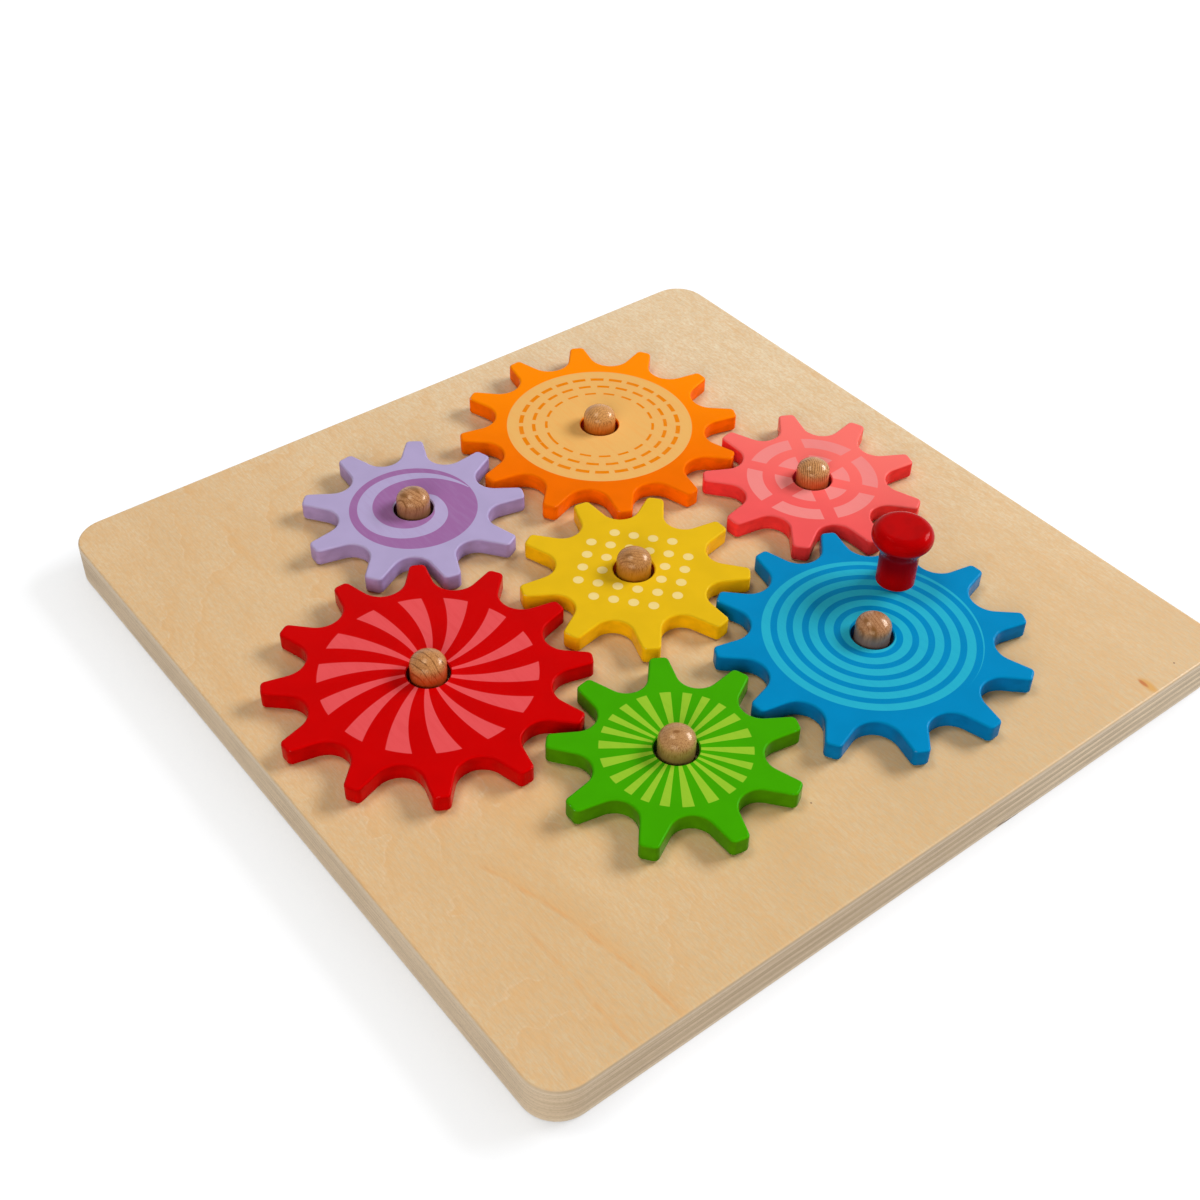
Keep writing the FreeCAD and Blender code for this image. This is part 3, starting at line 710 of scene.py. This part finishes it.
def knob_lacquer():
    lacquer = Finish("knob_lacquer_finish", LACQUER)
    clouds = lacquer.mottle(lacquer.place(stretch=(6, 6, 12)))
    lacquer.cover(lacquer.ramp(clouds, 0.3, 0.7), LACQUER_DEEP)
    # painted shade: the lacquer is painted darker below the head, where the head shades the stem
    height = lacquer.apart(lacquer.place())[2]
    height = lacquer.plus(height, lacquer.times(clouds, 2.0))
    under_head = lacquer.ramp(height, 39.5, 42.0, 0.72, 0.0)
    lacquer.cover(lacquer.times(lacquer.ramp(height, 26.0, 34.0), under_head), LACQUER_UNDER_HEAD_SHADE)
    skin = lacquer.relief(lacquer.mottle(lacquer.place(stretch=(4, 4, 4))), 0.05, 0.3)
    return lacquer.done(0.09, skin, Specular_IOR_Level=0.045, Specular_Tint=(1.0, 0.06, 0.06))


dress("crank_knob", knob_lacquer())


# ---------------------------------------------------------------------------------------------
# Studio. A white floor that keeps the board's shadow, a window-like lamp to the right, a soft
# one overhead, a fill lamp behind the camera, and a pale room all round.

FLOOR_GREY = (0.66, 0.68, 0.71)
FLOOR_UNDER_GLOW = (0.35, 0.36, 0.375)
SEEN_RAYS = ("Is Camera Ray", "Is Glossy Ray", "Is Transmission Ray")
ROOM_LIGHT = 0.045

floor_paint = Finish("floor_paint", FLOOR_GREY)
floor_paint.tree.nodes.remove(floor_paint.shader)
rays = floor_paint.node("LightPath").outputs
seen = floor_paint.maths("MAXIMUM", rays[SEEN_RAYS[0]], rays[SEEN_RAYS[1]])
seen = floor_paint.maths("MAXIMUM", seen, rays[SEEN_RAYS[2]])
floor_paint.cover(seen, FLOOR_UNDER_GLOW)
matt = floor_paint.node("BsdfDiffuse", {"Color": floor_paint.colour})
# the floor glows less under the toy, to keep its shadow, and fully white farther off
away = floor_paint.node("VectorMath", {0: floor_paint.place()}, operation="LENGTH")
strength = floor_paint.ramp(away.outputs["Value"], 320.0, 1300.0, 0.72, 1.0)
# painted contact shadow: the glow darkens in the corner where the board meets it, most on the side
# away from the window
open_sky = floor_paint.node("AmbientOcclusion", {"Distance": 0.022}, samples=6).outputs["AO"]
closed_in = floor_paint.minus(1.0, open_sky)
depth = floor_paint.ramp(floor_paint.apart(floor_paint.place())[0], -142.0, -100.0, 0.50, 0.25)
corner = floor_paint.minus(1.0, floor_paint.times(closed_in, depth))
strength = floor_paint.times(seen, floor_paint.times(strength, corner))
glow = floor_paint.node("Emission", {"Color": (1.0, 1.0, 1.0), "Strength": strength})
both = floor_paint.node("AddShader", {0: matt.outputs[0], 1: glow.outputs[0]})
output = floor_paint.tree.nodes["Material Output"]
floor_paint.wire(both.outputs[0], output.inputs["Surface"])

bpy.ops.object.select_all(action="DESELECT")
bpy.ops.mesh.primitive_plane_add(size=8.0, location=(0, 0, -0.0002))
floor = bpy.context.object
floor.name = "studio_floor"
bpy.ops.object.transform_apply(location=True, rotation=True, scale=True)
floor.data.materials.append(floor_paint.material)


def softbox(name, spot, size, power, tint):
    """A soft lamp at a spot, facing the middle of the board."""
    lamp_data = bpy.data.lights.new(name, "AREA")
    lamp_data.shape = "RECTANGLE"
    lamp_data.size, lamp_data.size_y = size
    lamp_data.energy = power
    lamp_data.color = tint
    lamp = bpy.data.objects.new(name, lamp_data)
    lamp.location = spot
    aim = Vector((0, 0, BOARD_THICK * MM)) - Vector(spot)
    lamp.rotation_euler = aim.to_track_quat("-Z", "Y").to_euler()
    bpy.context.scene.collection.objects.link(lamp)


softbox("window_lamp", (1.946, -0.414, 1.342), (1.2, 0.7), power=53.0, tint=(0.98, 1.0, 1.04))
softbox("overhead_lamp", (-0.25, 0.55, 1.90), (0.65, 0.65), power=11.0, tint=(1.0, 0.97, 0.92))
softbox("fill_lamp", (-1.60, -1.20, 0.95), (1.4, 1.4), power=30.0, tint=(1.0, 0.96, 0.90))

# the room is white to the camera and in reflections, and lights the toy only a little
world = bpy.data.worlds.new("pale_room")
bpy.context.scene.world = world
world.use_nodes = True
room = world.node_tree
back = room.nodes["Background"]
back.inputs["Color"].default_value = (1.0, 1.0, 1.0, 1.0)
paths = room.nodes.new("ShaderNodeLightPath")
bright = None
for ray in SEEN_RAYS:
    brighter = room.nodes.new("ShaderNodeMath")
    brighter.operation = "MAXIMUM"
    brighter.inputs[1].default_value = ROOM_LIGHT
    room.links.new(paths.outputs[ray], brighter.inputs[0])
    if bright:
        room.links.new(bright.outputs[0], brighter.inputs[1])
    bright = brighter
room.links.new(bright.outputs[0], back.inputs["Strength"])

camera_data = bpy.data.cameras.new("camera")
camera_data.sensor_width = 36.0
camera_data.lens = 49.304
camera_data.clip_start = 0.01
camera = bpy.data.objects.new("camera", camera_data)
eye = Vector((-0.274668, -0.322336, 0.389994))
right = Vector((0.787522, -0.61604, 0.017402))
down = Vector((-0.402377, -0.535361, -0.742618))
ahead = Vector((0.466799, 0.577826, -0.669489))
turned = Matrix((right, -down, -ahead)).transposed().to_4x4()
camera.matrix_world = Matrix.Translation(eye) @ turned
bpy.context.scene.collection.objects.link(camera)
bpy.context.scene.camera = camera
bpy.context.scene.view_settings.view_transform = "Standard"
